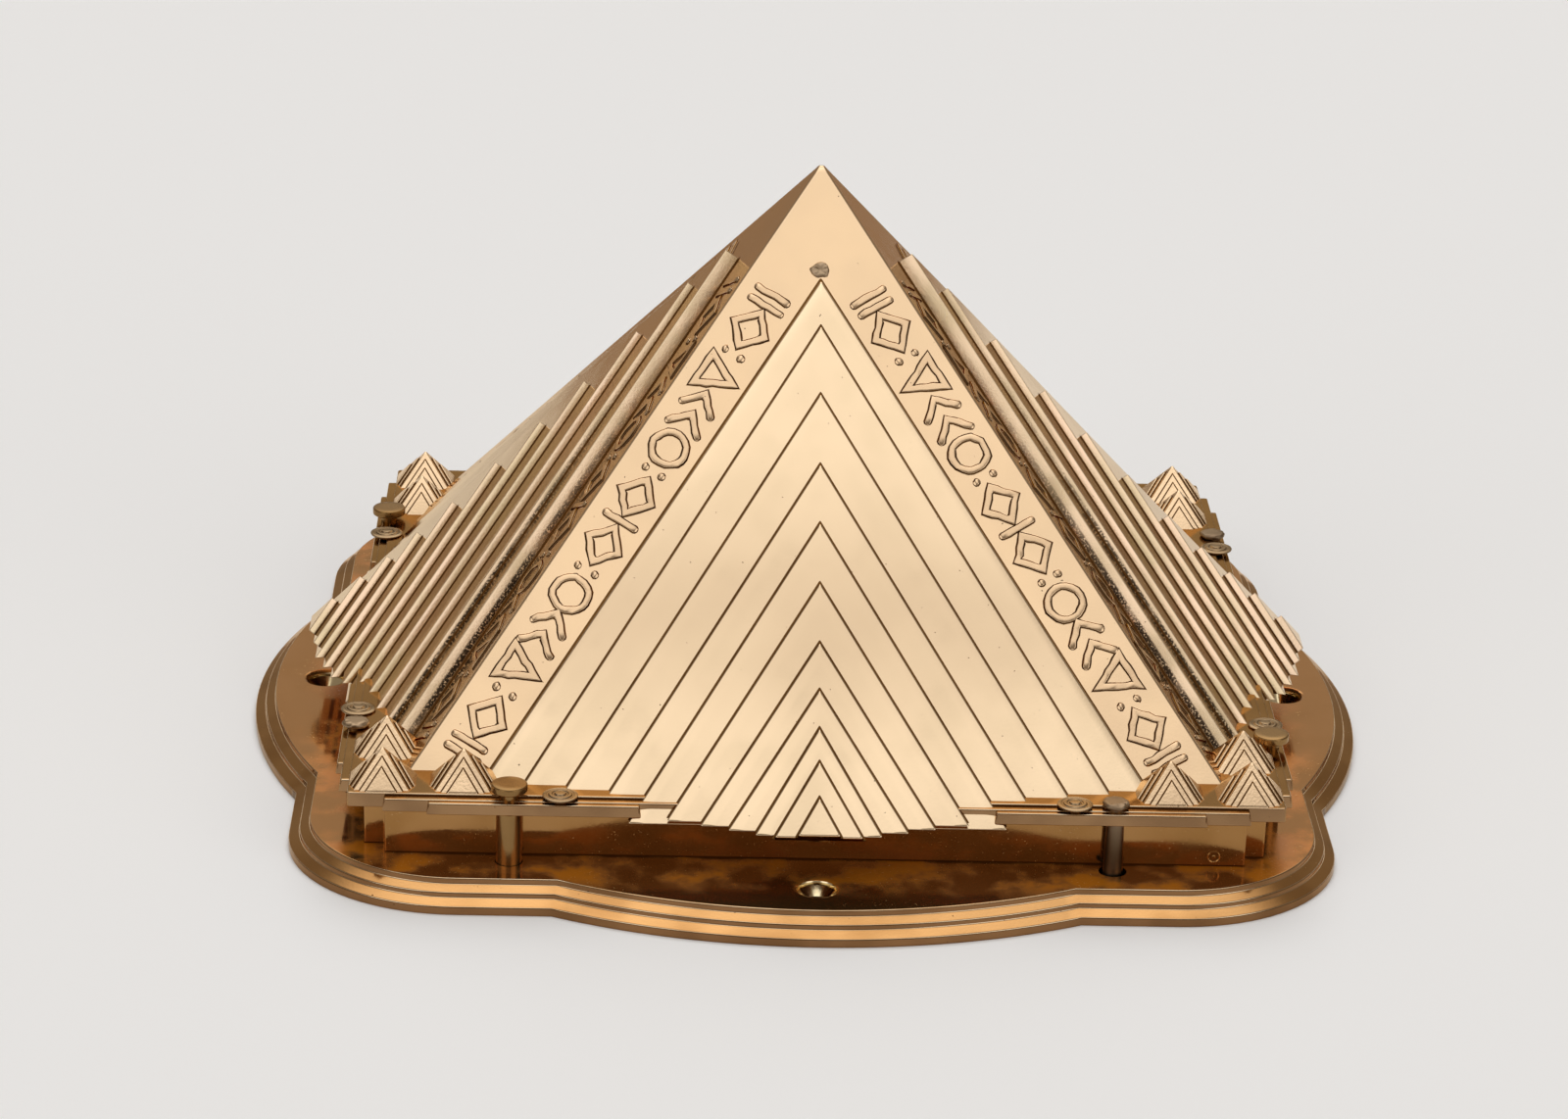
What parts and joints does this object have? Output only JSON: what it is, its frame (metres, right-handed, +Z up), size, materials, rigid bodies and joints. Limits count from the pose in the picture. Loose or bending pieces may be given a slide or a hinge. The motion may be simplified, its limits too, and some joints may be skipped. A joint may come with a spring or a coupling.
{
  "type": "vastu pyramid",
  "caption": "Gold plated stepped pyramid cover over a square tray, pinned to a scalloped base plate with screw holes.",
  "frame": {"origin": "middle of the underside of the base, on the surface that it stands on", "axes": "+Z up the pyramid, -Y towards the front face, +X to the right of it"},
  "size_m": [0.1484, 0.1484, 0.0772],
  "materials": {
    "base_gold": "gold plated, mirror bright, reads brown where it reflects the dark",
    "tray_gold": "gold plated, mirror bright",
    "cover_gold": "pale gold plated, glossy, pitted and scuffed in places",
    "pin_gold": "gold plated, dull bronze heads",
    "stake_grey": "rough, cut off head",
    "stud_gold": "gold plated, plain raised rings"
  },
  "bodies": {
    "root": {"base_plate": "base_gold", "plinth_tray": "tray_gold", "pyramid_cover": "cover_gold", "button_pin_front": "pin_gold", "stake_pin_front": "stake_grey", "rosette_stud_front_left": "stud_gold", "rosette_stud_front_right": "stud_gold", "button_pin_right": "pin_gold", "stake_pin_right": "stake_grey", "rosette_stud_right_left": "stud_gold", "rosette_stud_right_right": "stud_gold", "button_pin_back": "pin_gold", "stake_pin_back": "stake_grey", "rosette_stud_back_left": "stud_gold", "rosette_stud_back_right": "stud_gold", "button_pin_left": "pin_gold", "stake_pin_left": "stake_grey", "rosette_stud_left_left": "stud_gold", "rosette_stud_left_right": "stud_gold"}
  },
  "joints": []
}
